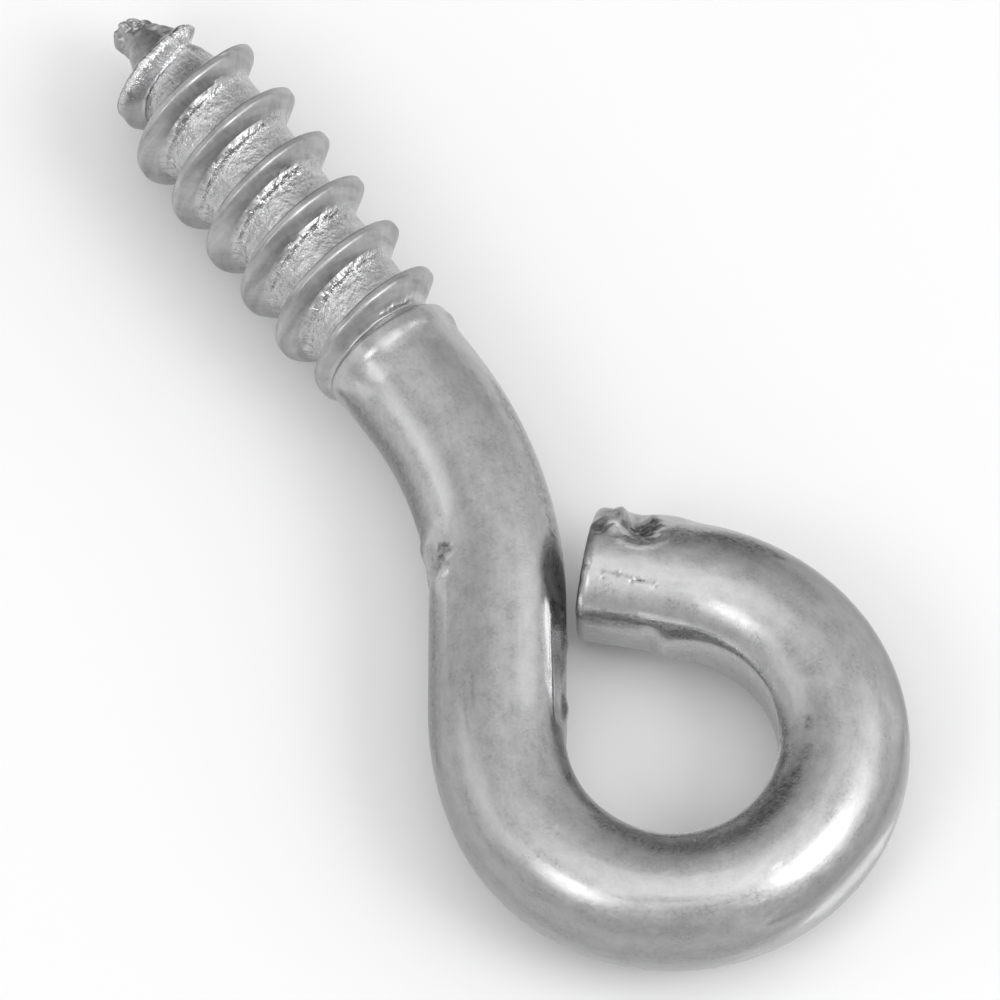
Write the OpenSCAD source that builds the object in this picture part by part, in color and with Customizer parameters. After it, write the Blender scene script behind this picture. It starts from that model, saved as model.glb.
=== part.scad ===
// Screw eye: one length of round steel wire. One end is bent round a mandrel into an eye, and a wood
// thread is rolled on the other.
// The origin is the centre of the eye, on the middle plane of the wire. +X runs towards the tip,
// alongside the shank, and +Z is the axis of the eye.

/* [Wire] */
// Diameter of the wire
wire_d = 4.5; // [3.5:0.1:5.5]

/* [Eye] */
// Clear diameter between the round sides of the wire, before the mandrel flattens it
eye_clear_d = 6.4; // [6:0.1:10]
// How deep the mandrel presses its flat into the inside of the wire
mandrel_flat = 0.25; // [0.05:0.05:0.6]
// Position round the eye, from the direction of the tip, at which the wire leaves the circle
eye_end_angle = 281; // [275:1:288]
// How much wider than the circle the wire bends where it opens out
release_slack = 0.7; // [0.3:0.05:2]
// How far the wire turns while it opens out
release_turn = 33; // [25:1:38]
// Air between the end of the wire and the neck
end_gap = 0.6; // [0.2:0.05:1.2]
// Radius by which the cutter rounds the edge of the end
end_round = 0.35; // [0.1:0.05:0.6]

/* [Neck] */
// How far the axis of the shank lies beside the centre of the eye
shank_offset = 0.66; // [0.1:0.02:2]
// Angle between the neck and the shank
neck_angle = 35.4; // [30:0.5:42]
// Bend radius between the shank and the neck, at the middle of the wire
neck_bend_r = 13.3; // [9:0.1:14]
// How far the neck stands outside the circle of the eye
neck_stand = 0.24; // [0.1:0.02:0.5]
// How much wider than the circle the wire bends where the neck runs into the eye
ease_slack = 3.35; // [2.5:0.05:4.5]

/* [Shank] */
// Length of the plain shank, from the neck bend to the shoulder
plain_l = 2; // [1.7:0.1:15]
// Length of the thread, from the shoulder to the tip
thread_l = 15; // [9:0.5:15]
// How far the rolled rim of the shoulder stands out of the wire
rim_rise = 0.05; // [0.02:0.01:0.15]
// Length of the rolled rim
rim_l = 0.35; // [0.2:0.05:0.8]
// Length of the slope from the rim down to the root of the thread
shoulder_l = 0.3; // [0.1:0.05:0.6]

/* [Thread] */
// Diameter over the crests
thread_d = 5.58; // [5.2:0.02:6.5]
// Diameter at the root
root_d = 3.88; // [3.4:0.05:4.3]
// Pitch of the one right-hand start
pitch = 2; // [1.8:0.1:2.6]
// Width of the rounded crest
crest_w = 0.24; // [0.2:0.02:0.4]
// Included angle between the flanks
flank_angle = 52; // [40:1:60]
// How far the ridge leans towards the tip
flank_lean = 11; // [0:1:14]
// Height of the hollow in which each flank meets the core
root_fillet = 0.15; // [0.05:0.05:0.25]
// Turn of the thread round the shank, from the +Y side
thread_phase = 104; // [0:1:359]
// How far the ridge stands out of the wire where it starts, behind the shoulder
start_rise = 0.1; // [0.06:0.01:0.2]
// Length over which the ridge grows to its full height
run_in_l = 2.4; // [1:0.1:4]
// Length over which the ridge gets lower towards the tip
fade_l = 2.2; // [1:0.1:4]
// Height of the stub of ridge at which it breaks off
stub_h = 0.16; // [0.14:0.02:0.3]
// From the tip back to that stub
stub_back = 0.55; // [0.55:0.05:1.5]

/* [Point] */
// Length of the taper of the core
point_l = 4.3; // [3:0.1:6]
// Diameter of the tip
tip_d = 0.8; // [0.6:0.1:2]

/* [Marks of bending] */
// Depth of the flat that the former leaves on the outside of the eye
outer_flat = 0.12; // [0.05:0.01:0.3]
// Position of that flat round the eye, from the direction of the tip
outer_flat_angle = 194; // [150:1:240]
// Depth of the nick that the bending pin leaves on the inside of the neck bend
nick_depth = 0.36; // [0.1:0.02:0.5]
// Radius of the nick
nick_r = 0.9; // [0.5:0.05:1.5]
// Depth of the bite of the gripper on the outside of the wire, near its end
bite_depth = 0.4; // [0.1:0.02:0.6]
// Radius of the bite
bite_r = 1; // [0.6:0.05:1.5]
// From the end of the wire back to the bite
bite_back = 1.4; // [1:0.1:2.5]

/* [Hidden] */
$fn = 48;

wire_r = wire_d / 2;
eye_r = (eye_clear_d + wire_d) / 2;
mandrel_r = eye_clear_d / 2 + mandrel_flat;
lap_l = 0.04;
lap_rise = 0.005;
zinc = [0.72, 0.73, 0.74];

release_r = eye_r + release_slack;
ease_r = eye_r + ease_slack;

// The neck is a straight line at neck_r from the centre of the eye, square to neck_side.
neck_r = eye_r + neck_stand;
neck_side = 90 - neck_angle;
neck_heading = 180 - neck_angle;
ease_turn = acos((ease_r - neck_r) / (ease_r - eye_r));
eye_start_angle = neck_side + ease_turn;

function along(angle) = [cos(angle), sin(angle)];

// The shank's line meets the neck's line here, and the neck bend is tangent to both.
corner_x = (neck_r + shank_offset * sin(neck_side)) / cos(neck_side);
neck_tangent = neck_bend_r * tan(neck_angle / 2);
bend_x = corner_x + neck_tangent;
bend_centre = [bend_x, neck_bend_r - shank_offset];
neck_start = [corner_x, -shank_offset] + neck_tangent * along(neck_heading);
ease_centre = (eye_r - ease_r) * along(eye_start_angle);
neck_l = norm(ease_centre + ease_r * along(neck_side) - neck_start);

// The wire opens out of the circle and runs straight until its end faces the neck.
release_centre = (eye_r - release_r) * along(eye_end_angle);
tail_side = eye_end_angle + release_turn;
tail_heading = tail_side + 90;
tail_start = release_centre + release_r * along(tail_side);
tail_stop_r = neck_r - wire_r - end_gap;
tail_l = (tail_stop_r - tail_start * along(neck_side)) / cos(tail_heading - neck_side);

// The nick is a little short of the end of the neck bend, and both it and the bite lie above the middle of
// the wire.
nick_turn = 4;
nick_side = 270 - neck_angle + nick_turn;
nick_middle = bend_centre + neck_bend_r * along(nick_side);
nick_rise = 18;
bite_middle = tail_start + (tail_l - bite_back) * along(tail_heading);
bite_rise = 30;

// The thread, along the shank from the centre of the eye
shoulder_x = bend_x + plain_l;
rim_x = shoulder_x - rim_l;
rim_foot_x = rim_x - rim_l;
reach = shoulder_x + thread_l;
point_x = reach - point_l;
crest_r = thread_d / 2;
root_r = root_d / 2;
tip_r = tip_d / 2;
crest_h = crest_r - root_r;
crest_round = crest_w / 4;
eye_flank = tan(flank_angle / 2 + flank_lean);
tip_flank = tan(flank_angle / 2 - flank_lean);
fade_slope = (crest_h - stub_h) / fade_l;

// The ridge is swept in steps. It comes up steeply through the skin of the plain shank, and breaks off in a
// stub short of the tip.
steps_per_turn = 36;
sink = 0.15;
mound_h = 0.12;
foot_gap = 0.02;
start_back = 0.8;
start_sink = 0.2;
start_slope = 1.2;
ridge_start_x = shoulder_x - start_back;
ridge_end_x = reach - stub_back;
ridge_steps = floor((ridge_end_x - ridge_start_x) / pitch * steps_per_turn);
start_h = wire_r + start_rise - root_r;

// Radius of the core at a place along the shank
function core_r(x) = x < point_x ? root_r : tip_r + (root_r - tip_r) * (reach - x) / point_l;

// Height of the ridge over the core: it grows out of the shoulder and gets lower towards the tip.
function ridge_h(x) = min(
    crest_h,
    wire_r - start_sink - root_r + start_slope * (x - ridge_start_x),
    start_h + (crest_h - start_h) * min(1, (x - ridge_start_x) / run_in_l),
    stub_h + fade_slope * (ridge_end_x - x)
);

// Outline of the ridge at a place along the shank, as [offset along the shank, radius] pairs.
// Where the ridge is lower than a mound, the mound sinks into the core.
function ridge_outline(x) =
    let (
        h = max(ridge_h(x), mound_h),
        r = core_r(x) + ridge_h(x) - h,
        fillet_h = min(root_fillet, h / 2),
        foot = crest_w / 2 + root_fillet / 2 + sink,
        flank_h = h - fillet_h
    )
    [
        [-min(foot + h * eye_flank, pitch / 2 - foot_gap), r - sink],
        [-crest_w / 2 - flank_h * eye_flank, r + fillet_h],
        [-crest_w / 2, r + h - crest_round],
        [0, r + h],
        [crest_w / 2, r + h - crest_round],
        [crest_w / 2 + flank_h * tip_flank, r + fillet_h],
        [foot + h * tip_flank, r - sink]
    ];

// Each stretch of wire begins with a lap, a ring a hair wider than the wire, which holds it to the one
// before.
module lap(start, heading) {
    translate([start[0], start[1], 0])
        rotate([0, 90, heading])
            cylinder(r = wire_r + lap_rise, h = lap_l, center = true);
}

module straight(start, heading, length) {
    lap(start, heading);
    translate([start[0], start[1], 0])
        rotate([0, 90, heading])
            cylinder(d = wire_d, h = length);
}

module bend(centre, radius, side, turn) {
    lap(centre + radius * along(side), side + 90);
    translate([centre[0], centre[1], 0])
        rotate_extrude(angle = turn, start = side)
            translate([radius, 0])
                circle(d = wire_d);
}

// The last stretch, up to the cut end with its rounded edge
module tail() {
    lap(tail_start, tail_heading);
    translate([tail_start[0], tail_start[1], 0])
        rotate([0, 90, tail_heading])
            rotate_extrude() {
                square([wire_r, tail_l - end_round]);
                square([wire_r - end_round, tail_l]);
                translate([wire_r - end_round, tail_l - end_round])
                    circle(r = end_round);
            }
}

// A hollow that a round tool leaves in the wire, on the side and rise that face it
module dent(middle, side, rise, radius, depth) {
    translate([middle[0], middle[1], 0])
        rotate([0, -rise, side])
            translate([wire_r + radius - depth, 0, 0])
                sphere(r = radius, $fn = 32);
}

module neck() {
    difference() {
        union() {
            bend(bend_centre, neck_bend_r, 270, -neck_angle);
            straight(neck_start, neck_heading, neck_l);
        }
        dent(nick_middle, nick_side + 180, nick_rise, nick_r, nick_depth);
    }
}

// The wire goes round the mandrel, which presses a flat into its inside, as the former does on the outside.
module eye() {
    difference() {
        union() {
            bend(ease_centre, ease_r, neck_side, ease_turn);
            bend([0, 0], eye_r, eye_start_angle, eye_end_angle - eye_start_angle);
            bend(release_centre, release_r, eye_end_angle, release_turn);
            tail();
        }
        cylinder(r = mandrel_r, h = 2 * wire_d, center = true);
        rotate([0, 0, outer_flat_angle])
            translate([eye_r + wire_r - outer_flat, -wire_d, -wire_d])
                cube([wire_r, 2 * wire_d, 2 * wire_d]);
        dent(bite_middle, tail_side, bite_rise, bite_r, bite_depth);
    }
}

// The plain shank, the rolled rim of its shoulder, and the core of the thread down to the tip
module shank() {
    translate([0, -shank_offset, 0])
        rotate([0, 90, 0])
            rotate_extrude()
                polygon([
                    [0, bend_x],
                    [wire_r, bend_x],
                    [wire_r, rim_foot_x],
                    [wire_r + rim_rise, rim_x],
                    [wire_r + rim_rise, shoulder_x - rim_rise],
                    [wire_r, shoulder_x],
                    [root_r, shoulder_x + shoulder_l],
                    [root_r, point_x],
                    [tip_r, reach],
                    [0, reach]
                ]);
}

// The ridge of the thread: one right-hand sweep of its outline round the core
module ridge() {
    rings = [
        for (i = [0 : ridge_steps])
            let (x = ridge_start_x + i * pitch / steps_per_turn, angle = 360 * x / pitch + thread_phase)
            [for (p = ridge_outline(x)) [x + p[0], p[1] * cos(angle), p[1] * sin(angle)]]
    ];
    sides = len(rings[0]);
    last = len(rings) - 1;
    translate([0, -shank_offset, 0])
        polyhedron(
            points = [for (ring = rings) each ring],
            faces = [
                [for (j = [sides - 1 : -1 : 0]) j],
                for (i = [0 : last - 1], j = [0 : sides - 1])
                    let (k = (j + 1) % sides, a = i * sides, b = a + sides)
                    each [[a + j, a + k, b + k], [a + j, b + k, b + j]],
                [for (j = [0 : sides - 1]) last * sides + j]
            ]
        );
}

module screw_eye() {
    color(zinc) {
        eye();
        neck();
        shank();
        ridge();
    }
}

screw_eye();
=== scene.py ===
"""Screw eye: one length of zinc-plated steel wire, seen lying on a pale table.

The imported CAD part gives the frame. One mesh stands for its only node: the wire is swept along its
centre line, the wood thread is wound on its end, and then the marks of making are pressed into it.
Shapes are worked out in millimetres and become metres when the mesh is finished.
"""

import logging
import math
from dataclasses import dataclass, field
from enum import Enum
from typing import Any, Mapping, Sequence, Union

import bpy
import numpy as np
from mathutils import Matrix, Vector


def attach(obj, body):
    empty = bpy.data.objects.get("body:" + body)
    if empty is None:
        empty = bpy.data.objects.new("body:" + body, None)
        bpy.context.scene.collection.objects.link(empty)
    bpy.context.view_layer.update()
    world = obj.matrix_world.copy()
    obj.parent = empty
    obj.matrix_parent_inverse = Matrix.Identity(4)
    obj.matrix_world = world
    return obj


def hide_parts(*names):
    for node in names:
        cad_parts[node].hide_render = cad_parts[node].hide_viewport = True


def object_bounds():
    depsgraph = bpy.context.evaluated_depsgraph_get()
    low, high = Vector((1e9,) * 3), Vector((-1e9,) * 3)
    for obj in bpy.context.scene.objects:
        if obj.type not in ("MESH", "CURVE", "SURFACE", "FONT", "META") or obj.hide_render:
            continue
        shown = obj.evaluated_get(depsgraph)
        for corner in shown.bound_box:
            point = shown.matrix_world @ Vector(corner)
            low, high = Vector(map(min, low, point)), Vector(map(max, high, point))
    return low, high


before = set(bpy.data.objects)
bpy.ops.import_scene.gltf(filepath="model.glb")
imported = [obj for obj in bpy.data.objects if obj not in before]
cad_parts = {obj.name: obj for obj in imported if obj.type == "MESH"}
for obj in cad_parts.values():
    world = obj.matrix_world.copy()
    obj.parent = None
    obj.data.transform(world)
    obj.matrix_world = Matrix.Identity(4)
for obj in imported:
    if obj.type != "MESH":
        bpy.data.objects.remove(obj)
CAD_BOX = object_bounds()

LOG = logging.getLogger("screw_eye")
MM = 0.001
NEAR_ZERO = 1e-6
NOISE_MIDDLE = 0.5  # of the noise node, whose result runs from 0 to 1
NODE = "screw_eye"
SLOT = "zinc_plated_steel"

ALONG = "along"
AROUND = "around"
STRAIGHT = "straight"
SECTION_R = "section_r"
ROOT_BAND = "root_band"
STAIN_AND_SHADE = "stain_and_shade"
PAINTED_HIGHLIGHT = "painted_highlight"
PAINTED_SHADE = "painted_shade"


Span = tuple[float, float]
Path = tuple[tuple[float, float], ...]


def place_object(name: str, data: Any) -> bpy.types.Object:
    """Makes an object of a mesh, a lamp or a camera, in the scene."""
    made = bpy.data.objects.new(name, data)
    bpy.context.scene.collection.objects.link(made)
    return made


# ------------------------------------------------------------------------------------- node trees


@dataclass(frozen=True)
class Pattern:
    """A noise: features per millimetre, finer layers, and how much finer it is along each axis."""

    scale: float
    detail: float
    stretch: tuple[float, float, float] = (1, 1, 1)


class Value:
    """A number or a vector in a node tree. Arithmetic on it adds Math nodes to the tree."""

    def __init__(self, graph: "Graph", socket: bpy.types.NodeSocket) -> None:
        """Keeps the tree and the socket that the number comes out of."""
        self.graph = graph
        self.socket = socket

    def math(self, operation: str, *others: "Operand") -> "Value":
        """Adds one Math node.

        Args:
            operation: The node's operation, such as "SINE".
            others: The second and third operand, where there are any.

        Returns:
            What comes out of the node.
        """
        return self.graph.math(operation, self, *others)

    def __add__(self, other: "Operand") -> "Value":
        """Sum."""
        return self.math("ADD", other)

    def __sub__(self, other: "Operand") -> "Value":
        """Difference."""
        return self.math("SUBTRACT", other)

    def __rsub__(self, other: float) -> "Value":
        """Difference, from a plain number."""
        return self.graph.math("SUBTRACT", other, self)

    def __mul__(self, other: "Operand") -> "Value":
        """Product."""
        return self.math("MULTIPLY", other)

    def __truediv__(self, other: "Operand") -> "Value":
        """Quotient."""
        return self.math("DIVIDE", other)

    __radd__ = __add__
    __rmul__ = __mul__

    def least(self, other: "Operand") -> "Value":
        """The smaller of two numbers."""
        return self.math("MINIMUM", other)

    def most(self, other: "Operand") -> "Value":
        """The larger of two numbers."""
        return self.math("MAXIMUM", other)

    def step(self, low: float, high: float) -> "Value":
        """Rises smoothly from 0 at low to 1 at high, or falls where low is the larger."""
        node = self.graph.add(
            "ShaderNodeMapRange",
            {"Value": self, "From Min": low, "From Max": high},
            interpolation_type="SMOOTHSTEP",
        )
        return Value(self.graph, node.outputs["Result"])


Operand = Union[Value, float]


class Graph:
    """A node tree under construction."""

    def __init__(self, tree: bpy.types.NodeTree) -> None:
        """Keeps the tree."""
        self.tree = tree

    def add(
        self,
        kind: str,
        inputs: Mapping[Union[str, int], Any] | None = None,
        **settings: Any,
    ) -> bpy.types.Node:
        """Adds a node.

        Args:
            kind: The node's type.
            inputs: What feeds its sockets, by name or number: a Value, a socket or a plain value.
            settings: The node's own properties.

        Returns:
            The node.
        """
        node = self.tree.nodes.new(kind)
        for name, value in settings.items():
            setattr(node, name, value)
        for key, value in (inputs or {}).items():
            self.feed(node.inputs[key], value)
        return node

    def feed(self, socket: bpy.types.NodeSocket, value: Any) -> None:
        """Links a Value or a socket to an input, or sets the input's own value."""
        source = value.socket if isinstance(value, Value) else value
        if isinstance(source, bpy.types.NodeSocket):
            self.tree.links.new(source, socket)
        else:
            socket.default_value = source

    def math(self, operation: str, *operands: Operand) -> Value:
        """Adds a Math node with its operands in order and returns its result."""
        node = self.add("ShaderNodeMath", dict(enumerate(operands)), operation=operation)
        return Value(self, node.outputs[0])

    def noise(self, place: Any, pattern: Pattern) -> Value:
        """Adds noise that varies about 0, by half either way at the most.

        Args:
            place: The vector that it is read at, in millimetres.
            pattern: The kind of noise.

        Returns:
            The noise.
        """
        stretched = self.add(
            "ShaderNodeVectorMath", {0: place, 1: pattern.stretch}, operation="MULTIPLY"
        )
        node = self.add(
            "ShaderNodeTexNoise",
            {
                "Vector": stretched.outputs[0],
                "Scale": pattern.scale,
                "Detail": pattern.detail,
            },
        )
        return Value(self, node.outputs[0]) - NOISE_MIDDLE

    def split(self, vector: bpy.types.NodeSocket) -> tuple[Value, Value, Value]:
        """The three parts of a vector."""
        node = self.add("ShaderNodeSeparateXYZ", {"Vector": vector})
        return tuple(Value(self, node.outputs[axis]) for axis in "XYZ")

    def join(self, x: Operand, y: Operand, z: Operand) -> bpy.types.NodeSocket:
        """A vector made of three numbers."""
        return self.add("ShaderNodeCombineXYZ", {"X": x, "Y": y, "Z": z}).outputs[0]


class ShapeTree(Graph):
    """A Geometry Nodes tree with named sizes as its inputs."""

    def __init__(self, name: str, sizes: Mapping[str, float]) -> None:
        """Starts a tree.

        Args:
            name: The tree's name.
            sizes: Each named input and its value.
        """
        super().__init__(bpy.data.node_groups.new(name, "GeometryNodeTree"))
        face = self.tree.interface
        face.new_socket("Geometry", in_out="OUTPUT", socket_type="NodeSocketGeometry")
        face.new_socket("Geometry", in_out="INPUT", socket_type="NodeSocketGeometry")
        self.sizes = dict(sizes)
        self.identifiers: dict[str, str] = {}
        for size in sizes:
            item = face.new_socket(size, in_out="INPUT", socket_type="NodeSocketFloat")
            self.identifiers[size] = item.identifier
        self.source = self.tree.nodes.new("NodeGroupInput")

    def size(self, name: str) -> Value:
        """A named input."""
        return Value(self, self.source.outputs[name])

    def store(self, geometry: Any, name: str, value: Any, kind: str = "FLOAT") -> Any:
        """Writes a named attribute on every point and returns the geometry."""
        node = self.add(
            "GeometryNodeStoreNamedAttribute",
            {"Geometry": geometry, "Name": name, "Value": value},
            data_type=kind,
            domain="POINT",
        )
        return node.outputs["Geometry"]

    def read(self, name: str, kind: str = "FLOAT") -> Any:
        """Reads a named attribute."""
        node = self.add("GeometryNodeInputNamedAttribute", {"Name": name}, data_type=kind)
        return node.outputs["Attribute"]

    def move(self, geometry: Any, x: Operand, y: Operand, z: Operand) -> Any:
        """Moves every point to new coordinates and returns the geometry."""
        inputs = {"Geometry": geometry, "Position": self.join(x, y, z)}
        return self.add("GeometryNodeSetPosition", inputs).outputs[0]

    def finish(self, geometry: Any, material: bpy.types.Material) -> None:
        """Ends the tree in Realize Instances and Set Material."""
        real = self.add("GeometryNodeRealizeInstances", {"Geometry": geometry})
        dressed = self.add("GeometryNodeSetMaterial", {"Geometry": real.outputs[0]})
        dressed.inputs["Material"].default_value = material
        self.add("NodeGroupOutput", {"Geometry": dressed.outputs[0]})

    def grow(self, source: bpy.types.Object) -> bpy.types.Mesh:
        """Runs the tree on an object.

        Args:
            source: The object that the tree starts from. It is removed.

        Returns:
            The resulting plain mesh.
        """
        modifier = source.modifiers.new(self.tree.name, "NODES")
        modifier.node_group = self.tree
        for name, value in self.sizes.items():
            modifier[self.identifiers[name]] = float(value)
        bpy.context.view_layer.update()
        graph = bpy.context.evaluated_depsgraph_get()
        mesh = bpy.data.meshes.new_from_object(source.evaluated_get(graph))
        bpy.data.objects.remove(source)
        return mesh


# ------------------------------------------------------------------------------------------ sizes


@dataclass(frozen=True)
class WireSizes:
    """The wire, and the way that it is bent (millimetres and degrees)."""

    wire_d: float = 4.5
    eye_clear_d: float = 6.4
    mandrel_flat: float = 0.25
    mandrel_round: float = 0.06
    eye_end_angle: float = 281.0
    release_r: float = 6.15
    release_turn: float = 33.0
    end_gap: float = 0.6
    end_round: float = 0.35
    end_bulge: float = 0.03
    shank_offset: float = 0.66
    neck_angle: float = 35.4
    neck_bend_r: float = 13.3
    neck_stand: float = 0.24
    ease_r: float = 8.8

    @property
    def wire_r(self) -> float:
        """Radius of the wire."""
        return self.wire_d / 2

    @property
    def eye_r(self) -> float:
        """Radius of the eye at the middle of the wire."""
        return (self.eye_clear_d + self.wire_d) / 2

    @property
    def mandrel_r(self) -> float:
        """Radius of the flat that the mandrel pressed into the inside of the eye."""
        return self.eye_clear_d / 2 + self.mandrel_flat


@dataclass(frozen=True)
class ThreadSizes:
    """The rolled wood thread and its point (millimetres and degrees).

    Its reach and its diameter stay a little inside the CAD part's, to leave room for rough metal.
    """

    reach: float = 31.996
    thread_l: float = 15.0
    rim_rise: float = 0.05
    rim_l: float = 0.35
    shoulder_l: float = 0.3
    thread_d: float = 5.52
    root_d: float = 3.88
    pitch: float = 2.0
    crest_w: float = 0.24
    flank_angle: float = 52.0
    flank_lean: float = 11.0
    phase: float = 104.0
    start_back: float = 0.8
    start_sink: float = 0.2
    start_slope: float = 1.2
    start_rise: float = 0.1
    run_in_l: float = 2.4
    fade_l: float = 2.2
    stub_h: float = 0.16
    stub_back: float = 0.55
    point_l: float = 4.3
    tip_d: float = 0.8
    nose_l: float = 0.3
    root_round: float = 0.12
    crest_round: float = 0.08

    @property
    def shoulder_x(self) -> float:
        """Where the thread begins, along the shank."""
        return self.reach - self.thread_l

    @property
    def point_x(self) -> float:
        """Where the core begins to taper."""
        return self.reach - self.point_l


@dataclass(frozen=True)
class Rolling:
    """How uneven rolling and breaking off left the thread (millimetres and degrees).

    A noise is multiplied by the value that ends in "by". A span runs from where something is absent
    to where it is full. It counts back from the tip in rough_end, crown, broken and last_turn_x, and
    from a crest towards the tip in the others.
    """

    wander: Pattern = Pattern(0.55, 1)
    wander_by: float = 0.16
    chatter: Pattern = Pattern(1.3, 2)
    chatter_by: float = 0.07
    uneven_after: float = 0.4
    fine: Pattern = Pattern(3.2, 3)
    folds: Pattern = Pattern(1.7, 2, (0.6, 1.6, 1.6))
    crinkle_by: float = 0.16
    crinkle_after: float = 0.25
    ragged: Pattern = Pattern(2.6, 3)
    ragged_by: float = 0.3
    rough_end: Span = (3.2, 2.2)
    rough_more: float = 2.0
    lumps: Pattern = Pattern(1.2, 1)
    lumps_by: float = 0.5
    crown: Span = (1.0, 0.5)
    broken: Span = (1.2, 0.0)
    break_side: float = 15.0
    break_slant: float = 0.5
    break_level: float = 0.25
    eye_side: Span = (-0.50, -0.62)
    tip_side: Span = (0.30, 0.36)
    tip_side_ragged: float = 0.3
    smooth_from: float = 0.5
    smooth_rate: float = 0.6
    smooth_most: float = 0.7
    last_crest_x: float = 29.84
    last_crest_side: float = 75.0
    last_turn: Span = (-0.8, -0.6)
    last_turn_x: Span = (2.9, 2.5)
    past_last: Span = (0.02, 0.12)


# ------------------------------------------------------------------------------- the wire's middle


@dataclass
class Stretch:
    """A stretch of the wire's centre line, straight or bent to one radius."""

    start: np.ndarray
    heading: float
    length: float
    bend: float

    def at(self, distance: np.ndarray) -> tuple[np.ndarray, np.ndarray]:
        """Follows the stretch.

        Args:
            distance: Distances from its start.

        Returns:
            The points, and the heading at each in radians.
        """
        heading = self.heading + distance * self.bend
        if self.bend == 0:
            away = np.stack([np.cos(heading), np.sin(heading)], -1) * distance[:, None]
        else:
            away = np.stack([np.sin(heading), -np.cos(heading)], -1) / self.bend
            away -= np.array([math.sin(self.heading), -math.cos(self.heading)]) / self.bend
        return self.start + away, heading


class CentreLine:
    """The middle of the wire, from the foot of the thread's shoulder round to the cut end."""

    def __init__(self, wire: WireSizes, start_x: float) -> None:
        """Lays the stretches end to end.

        Args:
            wire: The sizes of the wire.
            start_x: Where the line begins, along the shank.
        """
        self.stretches: list[Stretch] = []
        neck_r = wire.eye_r + wire.neck_stand
        neck_side = math.radians(90 - wire.neck_angle)
        ease_turn = math.acos((wire.ease_r - neck_r) / (wire.ease_r - wire.eye_r))
        corner_x = (neck_r + wire.shank_offset * math.sin(neck_side)) / math.cos(neck_side)
        neck_tangent = wire.neck_bend_r * math.tan(math.radians(wire.neck_angle) / 2)
        corner_to_ease = -corner_x * math.sin(neck_side) - wire.shank_offset * math.cos(neck_side)
        ease_out = (wire.ease_r - wire.eye_r) * math.sin(ease_turn)
        neck_l = -ease_out - corner_to_ease - neck_tangent
        eye_turn = math.radians(wire.eye_end_angle) - neck_side - ease_turn

        self._place = np.array([start_x, -wire.shank_offset])
        self._heading = math.pi
        self._run(start_x - corner_x - neck_tangent)
        self._turn(wire.neck_bend_r, -math.radians(wire.neck_angle))
        self._run(neck_l)
        self.eye_start = sum(stretch.length for stretch in self.stretches)
        self._turn(wire.ease_r, ease_turn)
        self._turn(wire.eye_r, eye_turn)
        self._turn(wire.release_r, math.radians(wire.release_turn))
        side = np.array([math.cos(neck_side), math.sin(neck_side)])
        tail_stop_r = neck_r - wire.wire_r - wire.end_gap
        towards = side @ [math.cos(self._heading), math.sin(self._heading)]
        self._run((tail_stop_r - self._place @ side) / towards)
        self.length = sum(stretch.length for stretch in self.stretches)

    def _add(self, length: float, bend: float) -> None:
        """Adds a stretch that goes on from the last one."""
        stretch = Stretch(self._place, self._heading, length, bend)
        self.stretches.append(stretch)
        points, headings = stretch.at(np.array([length]))
        self._place = points[0]
        self._heading = float(headings[0])

    def _run(self, length: float) -> None:
        """Adds a straight stretch."""
        self._add(length, 0.0)

    def _turn(self, radius: float, turn: float) -> None:
        """Adds a bend to the left, or to the right where turn is negative."""
        self._add(radius * abs(turn), math.copysign(1 / radius, turn))

    def at(self, distance: np.ndarray) -> tuple[np.ndarray, np.ndarray]:
        """Follows the line.

        Args:
            distance: Distances from its start.

        Returns:
            The points, and the heading at each in radians.
        """
        points = np.zeros((len(distance), 2))
        headings = np.zeros(len(distance))
        passed = 0.0
        for stretch in self.stretches:
            here = (distance >= passed - NEAR_ZERO) | (passed == 0.0)
            points[here], headings[here] = stretch.at(distance[here] - passed)
            passed += stretch.length
        return points, headings


# ----------------------------------------------------------------------------- the marks of making


RING_PEAK = 0.7  # where a ring is highest, as a share of the mark's own reach
RING_HALF = 0.3  # half the width of that ridge, likewise
RIB_WAVES = 2.6  # ribs from the middle of the mark to its side
FLAT_SIDE = 0.2  # cosine of the widest angle from its middle that a flat reaches
DEEPEST = 0.9  # the deepest hollow, as a share of the way in to the centre line
SEAM = 1e-3  # how far behind the foot of the shoulder a point still belongs to the thread


def tapered(share: np.ndarray, growth: float, thin: float) -> np.ndarray:
    """How wide a line is down its path: full in the middle and thin at both ends.

    Args:
        share: How far down the path each point lies, from 0 to 1.
        growth: How fast the line widens from its ends.
        thin: Its width at the ends, as a share of the full width.

    Returns:
        The width at each point, as a share of the full width.
    """
    return np.clip(growth * np.minimum(share, 1 - share) + thin, 0, 1)


class Form(Enum):
    """How a mark changes the surface."""

    DENT = "a smooth hollow, or a swelling where its height is positive"
    PIT = "a hollow or a nodule with a sharp edge"
    RING = "a ring-shaped ridge"
    RIBS = "ridges side by side"


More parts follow.
